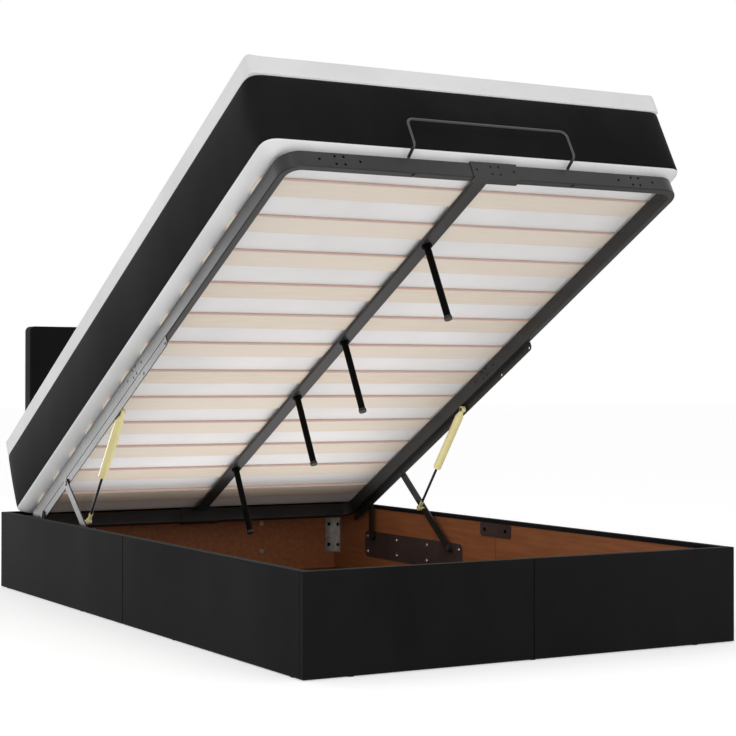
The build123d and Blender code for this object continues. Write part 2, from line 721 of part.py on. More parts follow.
# Centre bar: a flat tube down the middle, level with the tops of the rails
centre_bar_start = rail_width + sleeve_wall + fit_gap
centre_bar_stop = frame_length - centre_bar_start
centre_bar_middle_w = rail_height - centre_bar_height / 2
with BuildPart() as centre_bar:
    with BuildSketch(bed_foot(centre_bar_start)):
        with Locations((0, centre_bar_middle_w)):
            RectangleRounded(centre_bar_width, centre_bar_height, radius=centre_bar_height / 4)
            Rectangle(centre_bar_width - 2 * centre_bar_wall, centre_bar_height - 2 * centre_bar_wall,
                      mode=Mode.SUBTRACT)
    extrude(amount=-(centre_bar_stop - centre_bar_start))
save(centre_bar, "centre_bar")

# Twelve plywood slats rest on the rails and on the centre bar
slat_count = 12
slat_width = 68
slat_thickness = 8
slat_foot_inset = 119
slat_head_inset = 98.8
slat_edge_radius = 2
slat_pitch = (frame_length - slat_foot_inset - slat_head_inset - slat_width) / (slat_count - 1)
with BuildPart() as slats:
    slats_middle_v = slat_foot_inset + slat_width / 2 + slat_pitch * (slat_count - 1) / 2
    with BuildSketch(bed_level(rail_height)):
        with Locations((0, slats_middle_v)):
            with GridLocations(0, slat_pitch, 1, slat_count):
                Rectangle(frame_width, slat_width)
    extrude(amount=slat_thickness)
    fillet(slats.edges().filter_by(Axis.X), radius=slat_edge_radius)
save(slats, "slats")

# Four legs under the centre bar, with caps that meet the floor panels when the bed is shut
leg_place_shares = [0.178, 0.4296, 0.5934, 0.8322]
leg_radius = 9
leg_cap_radius = 10.5
leg_cap_height = 8
leg_flange_radius = 14
leg_flange_height = 3
leg_floor_clearance = 0.5
leg_places = [(0, frame_length * share) for share in leg_place_shares]
leg_top_w = rail_height - centre_bar_height
leg_bottom_w = floor_panel_thickness + leg_floor_clearance - closed_foot_height
with BuildPart() as centre_legs:
    with BuildSketch(bed_level(leg_top_w)):
        with Locations(*leg_places):
            Circle(leg_flange_radius)
    extrude(amount=-leg_flange_height)
    with BuildSketch(bed_level(leg_top_w)):
        with Locations(*leg_places):
            Circle(leg_radius)
    extrude(amount=-(leg_top_w - leg_bottom_w - leg_cap_height))
save(centre_legs, "centre_legs")

with BuildPart() as leg_caps:
    with BuildSketch(bed_level(leg_bottom_w)):
        with Locations(*leg_places):
            Circle(leg_cap_radius)
    extrude(amount=leg_cap_height)
save(leg_caps, "leg_caps")

# Mattress retainer: a bent wire whose ends drop through the foot rail
wire_end_depth = 3
wire_rise = 8
wire_knee_reach = 28
wire_knee_height = 60
wire_top_reach = 26
wire_top_height = 135
wire_bend_radius = 9
wire_corner_radius = 16


def wire_leg(sign):
    """Points of one leg of the wire, from under the rail up to its top corner."""
    local_points = [
        (rail_width / 2, -wire_end_depth),
        (rail_width / 2, rail_height + wire_rise),
        (-wire_knee_reach, wire_knee_height),
        (-wire_top_reach, wire_top_height),
    ]
    return [bed.from_local_coords((sign * wire_half_width, v, w)) for v, w in local_points]


with BuildPart() as retainer_bar:
    with BuildLine() as wire_path:
        FilletPolyline(
            *wire_leg(-1),
            *reversed(wire_leg(1)),
            radius=[wire_bend_radius, wire_bend_radius, wire_corner_radius,
                    wire_corner_radius, wire_bend_radius, wire_bend_radius],
        )
    with BuildSketch(Plane(origin=wire_path.line @ 0, z_dir=wire_path.line % 0)):
        Circle(wire_radius)
    sweep()
save(retainer_bar, "retainer_bar")

# Side plates: flat bars welded under the side rails, flush with their outer faces
side_plate_length = 1180
side_plate_head_inset = 10
side_plate_height = 22
side_plate_corner_radius = 12
side_plate_first_hole_inset = 11
side_plate_hole_spacing = 160
side_plate_hole_depth = 14
side_plate_hole_radius = 4
strut_side_gap = 12.7
strut_eye_width = 12
strut_stud_radius = 4
strut_stud_head_radius = 6
strut_stud_head_height = 1.5
side_plate_foot_v = frame_length - side_plate_head_inset - side_plate_length
side_plate_first_hole_v = side_plate_foot_v + side_plate_first_hole_inset
side_plate_holes_v = (side_plate_first_hole_v, side_plate_first_hole_v + side_plate_hole_spacing)
strut_axis_x = side_plate_inner_x - strut_side_gap
strut_stud_end_x = strut_axis_x - strut_eye_width / 2 - fit_gap
for side, sign in side_sign.items():
    with BuildPart() as side_plate:
        with BuildSketch(bed_side(sign * side_plate_inner_x)) as plate_outline:
            with Locations((side_plate_foot_v + side_plate_length / 2, -side_plate_height / 2)):
                Rectangle(side_plate_length, side_plate_height)
            fillet(plate_outline.vertices().group_by(Axis.Y)[0], radius=side_plate_corner_radius)
            with Locations(*[(v, -side_plate_hole_depth) for v in side_plate_holes_v]):
                Circle(side_plate_hole_radius, mode=Mode.SUBTRACT)
            with Locations(front_pivot, rear_pivot):
                Circle(link_pin_radius + pin_clearance, mode=Mode.SUBTRACT)
        extrude(amount=sign * side_plate_thickness)
        with BuildSketch(bed_side(sign * side_plate_inner_x)):
            with Locations(strut_pivot):
                Circle(strut_stud_radius)
        extrude(amount=-sign * (side_plate_inner_x - strut_stud_end_x))
        with BuildSketch(bed_side(sign * strut_stud_end_x)):
            with Locations(strut_pivot):
                Circle(strut_stud_head_radius)
        extrude(amount=-sign * strut_stud_head_height, taper=15)
    save(side_plate, f"side_plate_{side}")

# Gas struts: tube and upper eye hang from the side plate, rod and lower eye push on the front link
strut_tube_radius = 12.3
strut_tube_wall = 1.5
strut_fitting_length = 26
strut_tube_length = 207
strut_guide_length = 10
strut_rod_radius = 4
rod_clearance = 0.2
strut_eye_radius = 9
strut_eye_neck_radius = 5
lower_fitting_length = 28
lower_eye_radius = 8
lower_neck_radius = 5.5
lower_stud_radius = 3.5
piston_length = 12
piston_clearance = 0.3
link_angle = atan2(front_top[1] - front_fixed_z, front_top[0] - front_fixed_y)
link_cos, link_sin = cos(link_angle), sin(link_angle)
strut_tube_end = strut_fitting_length + strut_tube_length
stud_y = front_fixed_y + strut_stud_distance * link_cos - strut_stud_height * link_sin
stud_z = front_fixed_z + strut_stud_distance * link_sin + strut_stud_height * link_cos
strut_top_y, strut_top_z = raised_point(*strut_pivot)
strut_length = hypot(stud_y - strut_top_y, stud_z - strut_top_z)
rod_guide_end = strut_length - lower_fitting_length
piston_stop = strut_tube_end - strut_guide_length - piston_clearance
for side, sign in side_sign.items():
    strut = Plane(
        origin=(sign * strut_axis_x, strut_top_y, strut_top_z),
        x_dir=(1, 0, 0),
        z_dir=(0, stud_y - strut_top_y, stud_z - strut_top_z),
    )
    with BuildPart() as strut_tube:
        with BuildSketch(strut.offset(strut_fitting_length)):
            Circle(strut_tube_radius)
        extrude(amount=strut_tube_length)
        fillet(strut_tube.edges().filter_by(GeomType.CIRCLE), radius=strut_tube_wall)
        with BuildSketch(strut.offset(strut_fitting_length + strut_tube_wall)):
            Circle(strut_tube_radius - strut_tube_wall)
        bore_length = piston_stop + piston_clearance - strut_fitting_length - strut_tube_wall
        extrude(amount=bore_length, mode=Mode.SUBTRACT)
        with BuildSketch(strut.offset(piston_stop)):
            Circle(strut_rod_radius + rod_clearance)
        extrude(amount=strut_guide_length + cut_overrun, mode=Mode.SUBTRACT)
    save(strut_tube, f"strut_tube_{side}")

    with BuildPart() as strut_top_eye:
        with BuildSketch(side_plane(sign * (strut_axis_x - strut_eye_width / 2))):
            with Locations((strut_top_y, strut_top_z)):
                Circle(strut_eye_radius)
        extrude(amount=sign * strut_eye_width)
        with BuildSketch(strut.offset(strut_eye_radius / 2)):
            Circle(strut_eye_neck_radius)
        with BuildSketch(strut.offset(strut_fitting_length)):
            Circle(strut_tube_radius - strut_tube_wall)
        loft()
        with BuildSketch(side_plane(sign * (strut_axis_x - strut_eye_width / 2))):
            with Locations((strut_top_y, strut_top_z)):
                Circle(strut_stud_radius + pin_clearance)
        extrude(amount=sign * strut_eye_width, mode=Mode.SUBTRACT)
    save(strut_top_eye, f"strut_top_eye_{side}")

    with BuildPart() as strut_rod:
        with BuildSketch(strut.offset(piston_stop - piston_length)):
            Circle(strut_tube_radius - strut_tube_wall - piston_clearance)
        extrude(amount=piston_length)
        with BuildSketch(strut.offset(piston_stop)):
            Circle(strut_rod_radius)
        extrude(amount=rod_guide_end - piston_stop)
    save(strut_rod, f"strut_rod_{side}")

    with BuildPart() as strut_rod_eye:
        with BuildSketch(side_plane(sign * (strut_axis_x - strut_eye_width / 2))):
            with Locations((stud_y, stud_z)):
                Circle(lower_eye_radius)
        extrude(amount=sign * strut_eye_width)
        with BuildSketch(strut.offset(rod_guide_end)):
            Circle(lower_neck_radius)
        extrude(amount=lower_fitting_length - lower_eye_radius / 2)
        with BuildSketch(side_plane(sign * strut_axis_x)):
            with Locations((stud_y, stud_z)):
                Circle(lower_stud_radius)
        extrude(amount=sign * (link_inner_x - fit_gap - strut_axis_x))
    save(strut_rod_eye, f"strut_rod_eye_{side}")

# Mattress: a sewn case over springs and foam, with a bulging border and a domed underside
mattress_width = base_width
mattress_foot_inset = 4
mattress_head_overhang = 12
mattress_thickness = 204
mattress_border_bottom = 22
mattress_seam_inset = 1.5
mattress_edge_inset = 34
mattress_corner_radius = 30
soft_gap = 0.3
slat_top_w = rail_height + slat_thickness
mattress_bottom_w = slat_top_w + soft_gap
mattress_top_w = mattress_bottom_w + mattress_thickness
mattress_length = frame_length + mattress_head_overhang - mattress_foot_inset
mattress_middle_v = mattress_foot_inset + mattress_length / 2


def soft_outline(width, length, inset, radius):
    """Plan outline of a soft slab, drawn in by an inset all round."""
    RectangleRounded(width - 2 * inset, length - 2 * inset, radius=radius - inset / 2)


border_height = mattress_thickness - mattress_border_bottom
border_shares = [step / 4 for step in range(5)]
mattress_levels = [
    (mattress_bottom_w, mattress_edge_inset),
    (mattress_bottom_w + mattress_border_bottom / 4, mattress_edge_inset * 2 / 3),
    (mattress_bottom_w + mattress_border_bottom * 2 / 3, mattress_edge_inset * 2 / 5),
]
for share in border_shares:
    bulge_inset = mattress_seam_inset * (1 - sin(share * pi))
    mattress_levels.append((mattress_bottom_w + mattress_border_bottom + share * border_height, bulge_inset))
with BuildPart() as mattress:
    for w, inset in mattress_levels:
        with BuildSketch(bed_level(w)):
            with Locations((0, mattress_middle_v)):
                soft_outline(mattress_width, mattress_length, inset, mattress_corner_radius)
    loft(ruled=True)
save(mattress, "mattress")

# Topper: a foam slab in a white case, a little squarer than the mattress
topper_side_inset = 2
topper_thickness = 53
topper_corner_radius = 7
topper_edge_inset = 3
topper_edge_height = 4
topper_bottom_w = mattress_top_w + soft_gap
topper_width = mattress_width - 2 * topper_side_inset
topper_length = frame_length + mattress_head_overhang
topper_middle_v = topper_length / 2
topper_levels = [
    (topper_bottom_w, topper_edge_inset),
    (topper_bottom_w + topper_edge_height, 0),
    (topper_bottom_w + topper_thickness - topper_edge_height, 0),
    (topper_bottom_w + topper_thickness, topper_edge_inset),
]
with BuildPart() as mattress_topper:
    for w, inset in topper_levels:
        with BuildSketch(bed_level(w)):
            with Locations((0, topper_middle_v)):
                soft_outline(topper_width, topper_length, inset, topper_corner_radius)
    loft(ruled=True)
save(mattress_topper, "mattress_topper")
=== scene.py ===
import bpy
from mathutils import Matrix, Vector
import numpy as np


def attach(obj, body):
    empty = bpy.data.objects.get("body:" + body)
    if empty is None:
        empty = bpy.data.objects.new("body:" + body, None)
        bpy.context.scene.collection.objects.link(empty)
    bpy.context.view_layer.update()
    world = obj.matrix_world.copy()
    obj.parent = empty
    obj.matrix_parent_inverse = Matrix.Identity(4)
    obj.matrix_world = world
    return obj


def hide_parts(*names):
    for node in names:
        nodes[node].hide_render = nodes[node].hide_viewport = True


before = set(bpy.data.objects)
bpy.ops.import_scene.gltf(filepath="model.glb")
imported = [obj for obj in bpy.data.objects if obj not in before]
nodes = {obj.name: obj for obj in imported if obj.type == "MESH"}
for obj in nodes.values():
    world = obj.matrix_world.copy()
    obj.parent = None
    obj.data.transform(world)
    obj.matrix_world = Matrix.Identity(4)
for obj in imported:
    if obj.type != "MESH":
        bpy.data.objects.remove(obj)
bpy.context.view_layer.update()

# Velvet covers of the base walls and the headboard
# Short charcoal pile is pulled over the boards and stapled underneath. Brushed patches lie
# lighter or darker, and the pile catches a soft sheen at its turned edges.
velvet_nodes = [
    "side_cover_left_foot", "side_cover_left_head", "side_cover_right_foot", "side_cover_right_head",
    "foot_cover_left", "foot_cover_right", "head_cover", "headboard_cover",
]
velvet_dark = (0.0060, 0.0060, 0.0062, 1)
velvet_light = (0.0116, 0.0116, 0.0119, 1)
velvet_sheen = 0.05
velvet_patch_stretch = (1, 1, 0.45)
velvet_patch_scale = 2.4
velvet_patch_height = 0.004
velvet_pile_scale = 900.0
velvet_pile_height = 0.0006

# The places of a Mix node's colour sockets, the last one among its outputs
mix_share, mix_first, mix_second, mix_result = 0, 6, 7, 2


class Finish:
    """A named material built from nodes on a Principled surface, with Object coordinates at hand."""

    def __init__(self, name, **sockets):
        self.material = bpy.data.materials.new(name)
        self.material.use_nodes = True
        self.tree = self.material.node_tree
        self.surface = self.tree.nodes["Principled BSDF"]
        self.place = self.tree.nodes.new("ShaderNodeTexCoord").outputs["Object"]
        for socket, value in sockets.items():
            self.surface.inputs[socket.replace("_", " ")].default_value = value

    def link(self, source, target):
        self.tree.links.new(source, target)

    def stretched(self, scale):
        """The place, multiplied by a scale along each axis."""
        node = self.tree.nodes.new("ShaderNodeMapping")
        node.inputs["Scale"].default_value = scale
        self.link(self.place, node.inputs["Vector"])
        return node.outputs["Vector"]

    def noise(self, vector, scale, detail, roughness=0.5):
        """Smooth random value from 0 to 1 over the surface."""
        node = self.tree.nodes.new("ShaderNodeTexNoise")
        node.inputs["Scale"].default_value = scale
        node.inputs["Detail"].default_value = detail
        node.inputs["Roughness"].default_value = roughness
        self.link(vector, node.inputs["Vector"])
        return node.outputs["Fac"]

    def attribute(self, name):
        """A number that the piece's mesh carries at each point."""
        node = self.tree.nodes.new("ShaderNodeAttribute")
        node.attribute_name = name
        return node.outputs["Fac"]

    def ramp(self, value, stops):
        """Two colours at their positions from 0 to 1, blended in between."""
        node = self.tree.nodes.new("ShaderNodeValToRGB")
        for element, (position, colour) in zip(node.color_ramp.elements, stops):
            element.position = position
            element.color = colour
        self.link(value, node.inputs["Fac"])
        return node.outputs["Color"]

    def mix(self, share, first, second):
        """Two colours, each a socket or a plain one, blended by a share from a socket."""
        node = self.tree.nodes.new("ShaderNodeMix")
        node.data_type = "RGBA"
        self.link(share, node.inputs[mix_share])
        for socket, colour in ((mix_first, first), (mix_second, second)):
            if isinstance(colour, bpy.types.NodeSocket):
                self.link(colour, node.inputs[socket])
            else:
                node.inputs[socket].default_value = colour
        return node.outputs[mix_result]

    def spread(self, value, low, high):
        """A value from 0 to 1 spread over a new range."""
        node = self.tree.nodes.new("ShaderNodeMapRange")
        node.inputs["To Min"].default_value = low
        node.inputs["To Max"].default_value = high
        self.link(value, node.inputs["Value"])
        return node.outputs["Result"]

    def axis(self, letter):
        """One coordinate of the place."""
        node = self.tree.nodes.new("ShaderNodeSeparateXYZ")
        self.link(self.place, node.inputs["Vector"])
        return node.outputs[letter]

    def compare(self, value, change, limit):
        """1 where a value passes a limit and 0 elsewhere. The value is made absolute first, or with
        MULTIPLY its sign is turned."""
        changed = self.tree.nodes.new("ShaderNodeMath")
        changed.operation = change
        changed.inputs[1].default_value = -1
        self.link(value, changed.inputs[0])
        passed = self.tree.nodes.new("ShaderNodeMath")
        passed.operation = "GREATER_THAN"
        passed.inputs[1].default_value = limit
        self.link(changed.outputs[0], passed.inputs[0])
        return passed.outputs[0]

    def bump(self, height, strength, distance):
        """Raises the surface's shading by a height, over whatever bump is there already."""
        node = self.tree.nodes.new("ShaderNodeBump")
        node.inputs["Strength"].default_value = strength
        node.inputs["Distance"].default_value = distance
        self.link(height, node.inputs["Height"])
        normal = self.surface.inputs["Normal"]
        if normal.is_linked:
            self.link(normal.links[0].from_socket, node.inputs["Normal"])
        self.link(node.outputs["Normal"], normal)

    def colour(self, socket):
        self.link(socket, self.surface.inputs["Base Color"])

    def rough(self, socket):
        self.link(socket, self.surface.inputs["Roughness"])


def velvet_finish(name, dark, light, sheen):
    """Brushed patches from a slow noise pick between two tones, and a fast noise is the pile."""
    velvet = Finish(name, Sheen_Weight=sheen, Sheen_Roughness=0.35, Specular_IOR_Level=0.08)
    patches = velvet.noise(
        velvet.stretched(velvet_patch_stretch), velvet_patch_scale, detail=5.0, roughness=0.62
    )
    pile = velvet.noise(velvet.place, velvet_pile_scale, detail=2.0)
    tone = velvet.ramp(patches, [(0.32, dark), (0.70, light)])
    velvet.colour(velvet.mix(velvet.spread(pile, low=0.0, high=0.35), tone, dark))
    velvet.rough(velvet.spread(patches, low=0.95, high=0.75))
    velvet.bump(pile, strength=0.35, distance=velvet_pile_height)
    velvet.bump(patches, strength=0.10, distance=velvet_patch_height)
    return velvet.material


def dress(material, *names):
    """Gives CAD nodes a material in every slot they have."""
    for name in names:
        for material_slot in nodes[name].material_slots:
            material_slot.material = material


velvet = velvet_finish("charcoal_velvet", velvet_dark, velvet_light, velvet_sheen)
dress(velvet, *velvet_nodes)

# Boards inside the base
# Chipboard faced with a matt brown foil with a faint straight grain. The floor panels are
# hardboard in a darker brown, and the headboard's core is raw chipboard, bare at its back.
board_nodes = [
    "side_board_left_foot", "side_board_left_head", "side_board_right_foot", "side_board_right_head",
    "foot_board_left", "foot_board_right", "head_board",
]
board_dark = (0.26, 0.089, 0.032, 1)
board_light = (0.43, 0.157, 0.057, 1)
board_hidden = (0.006, 0.005, 0.005, 1)
board_inner_x = 0.5825
board_inner_foot_y = -1.0325
hardboard_dark = (0.085, 0.040, 0.020, 1)
hardboard_light = (0.14, 0.070, 0.036, 1)
chipboard_dark = (0.30, 0.20, 0.11, 1)
chipboard_light = (0.55, 0.42, 0.27, 1)
foil_grain = ((14, 0.8, 14), 7.0)
hardboard_grain = ((3, 1, 3), 30.0)
chipboard_grain = ((1, 1, 1), 120.0)
board_speck_scale = 260.0
board_grain_height = 0.0008


def board_finish(name, dark, light, grain_shape, wrapped=False):
    """Grain is a noise of a given stretch and scale, and a finer one mottles it. On a wall board all
    but the inner face is dark, as the cover wraps it."""
    board = Finish(name, Specular_IOR_Level=0.35)
    stretch, scale = grain_shape
    grain = board.noise(board.stretched(stretch), scale, detail=6.0, roughness=0.65)
    speck = board.noise(board.place, board_speck_scale, detail=2.0)
    tone = board.ramp(grain, [(0.30, dark), (0.72, light)])
    mottled = board.mix(board.spread(speck, low=0.0, high=0.25), tone, dark)
    if wrapped:
        behind_side = board.compare(board.axis("X"), "ABSOLUTE", board_inner_x)
        behind_foot = board.compare(board.axis("Y"), "MULTIPLY", -board_inner_foot_y)
        mottled = board.mix(behind_foot, board.mix(behind_side, mottled, board_hidden), board_hidden)
    board.colour(mottled)
    board.rough(board.spread(grain, low=0.42, high=0.62))
    board.bump(grain, strength=0.12, distance=board_grain_height)
    return board.material


brown_board = board_finish("brown_board", board_dark, board_light, foil_grain, wrapped=True)
dress(brown_board, *board_nodes)
hardboard = board_finish("floor_hardboard", hardboard_dark, hardboard_light, hardboard_grain)
dress(hardboard, "floor_panel_foot", "floor_panel_head")
chipboard = board_finish("headboard_board", chipboard_dark, chipboard_light, chipboard_grain)
dress(chipboard, "headboard_core")

# Plastic strip, glides and caps
# Moulded in black with a fine spark texture, pushed or nailed on.
plastic_dark = (0.010, 0.010, 0.010, 1)
plastic_light = (0.022, 0.022, 0.023, 1)
spark_scale = 700.0
spark_height = 0.0004
plastic = Finish("black_plastic", Specular_IOR_Level=0.4)
spark = plastic.noise(plastic.place, spark_scale, detail=2.0)
plastic.colour(plastic.ramp(spark, [(0.3, plastic_dark), (0.8, plastic_light)]))
plastic.rough(plastic.spread(spark, low=0.40, high=0.58))
plastic.bump(spark, strength=0.15, distance=spark_height)
dress(plastic.material, "floor_strip", "floor_glides", "headboard_glides", "headboard_caps", "leg_caps")

# Steel fittings
# Brackets and bolts are zinc plated and a little uneven in shine. The rest is powder coated: legs
# and screws matt black, the base's plates dark brown, the retainer wire glossy black, and the
# frame, its side plates and the links dark grey.
zinc_dark = (0.36, 0.36, 0.35, 1)
zinc_light = (0.60, 0.59, 0.56, 1)
black_tones = ((0.0014, 0.0013, 0.0012, 1), (0.0034, 0.0031, 0.0029, 1))
brown_tones = ((0.055, 0.038, 0.035, 1), (0.080, 0.056, 0.052, 1))
wire_tones = ((0.0050, 0.0048, 0.0046, 1), (0.0095, 0.0090, 0.0088, 1))
grey_tones = ((0.011, 0.011, 0.011, 1), (0.022, 0.022, 0.022, 1))
zinc_cloud_scale = 45.0
drift_scale = 6.0
peel_scale = 1100.0
peel_height = 0.0004
roughness_reach = 0.12
zinc = Finish("zinc_steel", Metallic=1.0)
zinc_cloud = zinc.noise(zinc.place, zinc_cloud_scale, detail=4.0)
zinc.colour(zinc.ramp(zinc_cloud, [(0.3, zinc_dark), (0.75, zinc_light)]))
zinc.rough(zinc.spread(zinc_cloud, low=0.28, high=0.46))
dress(zinc.material, "corner_brackets", "hinge_bolts", "headboard_bolts")


def coated_steel(name, tones, roughness, gloss):
    """Powder coat: a fine orange-peel bump over a colour that drifts slowly between two tones."""
    coat = Finish(name, Specular_IOR_Level=gloss)
    dark, light = tones
    drift = coat.noise(coat.place, drift_scale, detail=4.0)
    peel = coat.noise(coat.place, peel_scale, detail=1.0)
    coat.colour(coat.ramp(drift, [(0.35, dark), (0.70, light)]))
    coat.rough(coat.spread(drift, low=roughness, high=roughness + roughness_reach))
    coat.bump(peel, strength=0.12, distance=peel_height)
    return coat.material


black_coat = coated_steel("black_steel", black_tones, roughness=0.45, gloss=0.04)
dress(black_coat, "centre_legs", "panel_screws")
plate_coat = coated_steel("plate_steel", brown_tones, roughness=0.45, gloss=0.04)
dress(plate_coat, "hinge_plate_left", "hinge_plate_right", "joining_plates")
wire_coat = coated_steel("wire_steel", wire_tones, roughness=0.20, gloss=0.9)
dress(wire_coat, "retainer_bar")
grey_coat = coated_steel("grey_steel", grey_tones, roughness=0.30, gloss=0.42)
dress(
    grey_coat, "frame_left", "frame_right", "frame_sleeves", "centre_bar",
    "side_plate_left", "side_plate_right", "front_link_left", "front_link_right",
    "rear_link_left", "rear_link_right",
)

# Gas struts
# The pressure tubes and their end fittings are enamelled in pale cream, glossy and slightly
# uneven. The rods are hard black steel, ground smooth.
cream_dark = (0.77, 0.68, 0.31, 1)
cream_light = (0.86, 0.78, 0.39, 1)
rod_dark = (0.012, 0.012, 0.013, 1)
rod_light = (0.030, 0.030, 0.032, 1)
cream_drift_scale = 18.0
rod_mark_scale = 220.0
cream = Finish("cream_tube", Coat_Weight=0.4, Coat_Roughness=0.12)
cream_drift = cream.noise(cream.place, cream_drift_scale, detail=3.0)
cream.colour(cream.ramp(cream_drift, [(0.3, cream_dark), (0.75, cream_light)]))
cream.rough(cream.spread(cream_drift, low=0.26, high=0.40))
dress(
    cream.material, "strut_tube_left", "strut_tube_right", "strut_top_eye_left", "strut_top_eye_right",
    "strut_rod_eye_left", "strut_rod_eye_right",
)
rod_black = Finish("black_rod", Metallic=0.8)
rod_mark = rod_black.noise(rod_black.place, rod_mark_scale, detail=2.0)
rod_black.colour(rod_black.ramp(rod_mark, [(0.3, rod_dark), (0.8, rod_light)]))
rod_black.rough(rod_black.spread(rod_mark, low=0.18, high=0.28))
dress(rod_black.material, "strut_rod_left", "strut_rod_right")

# Plywood slats
# Twelve birch slats, rounded along their edges, lie across the rails. Their faces are pale with
# a long grain, and the glued plies show pinkish brown along the edges.
platform_tilt = np.radians(28.6)
platform_foot = (-0.897, 1.1255)
slat_length = 1.130
slat_width = 0.068
slat_thickness = 0.008
slat_count = 12
slat_pitch = 0.1522
slat_first = 0.153
slat_bottom = 0.042
slat_rounding = 0.002
slat_side_steps = 56
slat_length_steps = 40
slat_end_share = 0.7
slat_tone_reach = 0.7
slat_seed = 7
birch_dark = (0.72, 0.62, 0.51, 1)
birch_light = (0.80, 0.71, 0.60, 1)
birch_pale = (0.82, 0.75, 0.65, 1)
birch_ply = (0.70, 0.48, 0.40, 1)
birch_grain_stretch = (1.4, 26, 26)
birch_grain_scale = 6.0
birch_grain_height = 0.0005


def bed_place(u, v, w):
    """The place of a point given across the platform, towards its head and up from it. The last two
    start at the frame's foot, turned down at the head by the tilt."""
    foot_y, foot_z = platform_foot
    y = foot_y + v * np.cos(platform_tilt) + w * np.sin(platform_tilt)
    z = foot_z - v * np.sin(platform_tilt) + w * np.cos(platform_tilt)
    return np.stack(np.broadcast_arrays(u, y, z), axis=-1)


def ring_walk(half_a, half_b, radius, count):
    """Walks a rounded rectangle in equal steps. Each point is a corner's centre, slid along the
    straight runs, plus the radius at an angle that turns only on the corners. Returns a, b, angle."""
    outer_a, outer_b, outer_r = np.max(half_a), np.max(half_b), np.max(radius)
    run_a, run_b, turn = 2 * (outer_a - outer_r), 2 * (outer_b - outer_r), outer_r * np.pi / 2
    stops = np.cumsum([0, run_a, turn, run_b, turn, run_a, turn, run_b, turn])
    walk = np.arange(count) / count * stops[-1]
    slide_a = np.interp(walk, stops, [-1, 1, 1, 1, 1, -1, -1, -1, -1])
    slide_b = np.interp(walk, stops, [-1, -1, -1, 1, 1, 1, 1, -1, -1])
    angle = np.interp(walk, stops, np.radians([-90, -90, 0, 0, 90, 90, 180, 180, 270]))
    a = slide_a * (half_a - radius) + radius * np.cos(angle)
    b = slide_b * (half_b - radius) + radius * np.sin(angle)
    return a, b, angle


def tube_faces(rows, count, start=0):
    """Quads between neighbouring rings, wrapped round each ring, and a ladder of quads across each
    end ring, which joins the points at equal steps before and after its first one."""
    row, col = np.meshgrid(np.arange(rows - 1), np.arange(count), indexing="ij")
    after = (col + 1) % count
    ring, next_ring = row * count, (row + 1) * count
    corners = [ring + col, ring + after, next_ring + after, next_ring + col]
    sides = np.stack(corners, axis=-1).reshape(-1, 4)
    rung = np.arange(count // 2 - 1)
    ladder = np.stack([rung, rung + 1, count - 2 - rung, count - 1 - rung], axis=-1)
    last_ring = (rows - 1) * count
    return np.concatenate([sides, ladder[:, ::-1], ladder + last_ring]) + start


def make_mesh(name, points, faces, *materials):
    """A smooth-shaded mesh object from arrays of points and quads."""
    mesh = bpy.data.meshes.new(name)
    mesh.from_pydata(points.reshape(-1, 3).tolist(), [], faces.tolist())
    for material in materials:
        mesh.materials.append(material)
    mesh.polygons.foreach_set("use_smooth", np.ones(len(faces), bool))
    piece = bpy.data.objects.new(name, mesh)
    bpy.context.scene.collection.objects.link(piece)
    return piece


def point_values(piece, name, values):
    """Stores one number a point on the mesh for its material to read."""
    layer = piece.data.attributes.new(name, "FLOAT", "POINT")
    layer.data.foreach_set("value", np.ascontiguousarray(values, np.float32).ravel())


birch = Finish("birch_slats", Specular_IOR_Level=0.35)
birch_grain = birch.noise(
    birch.stretched(birch_grain_stretch), birch_grain_scale, detail=6.0, roughness=0.6
)
birch_face = birch.ramp(birch_grain, [(0.25, birch_dark), (0.60, birch_light)])
birch_tone = birch.mix(birch.attribute("tone"), birch_face, birch_pale)
birch.colour(birch.mix(birch.attribute("ply"), birch_tone, birch_ply))
birch.rough(birch.spread(birch_grain, low=0.42, high=0.60))
birch.bump(birch_grain, strength=0.08, distance=birch_grain_height)

# Each slat is a rounded section carried along its length, with a smaller one inside each end.
slat_side_v, slat_side_w, slat_angle = ring_walk(
    slat_width / 2, slat_thickness / 2, slat_rounding, slat_side_steps
)
slat_u = np.linspace(-slat_length / 2, slat_length / 2, slat_length_steps)
slat_stations = np.concatenate([slat_u[:1], slat_u, slat_u[-1:]])
slat_shares = np.ones((len(slat_stations), 1))
slat_shares[[0, -1]] = slat_end_share
slat_point_count = len(slat_stations) * slat_side_steps
slat_points, slat_faces = [], []
for slat_number in range(slat_count):
    slat_points.append(bed_place(
        -slat_stations[:, None],
        slat_first + slat_pitch * slat_number + slat_side_v * slat_shares,
        slat_bottom + slat_thickness / 2 + slat_side_w * slat_shares,
    ))
    slat_faces.append(tube_faces(len(slat_stations), slat_side_steps, slat_number * slat_point_count))
slats = make_mesh("slats_dressed", np.stack(slat_points), np.concatenate(slat_faces), birch.material)
slat_rng = np.random.default_rng(slat_seed)
slat_tones = np.repeat(slat_rng.uniform(0.0, slat_tone_reach, slat_count), slat_point_count)
point_values(slats, "tone", slat_tones)
slat_ply = np.tile(np.cos(slat_angle) ** 2, (slat_count, len(slat_stations), 1))
point_values(slats, "ply", slat_ply)
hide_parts("slats")
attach(slats, "platform")

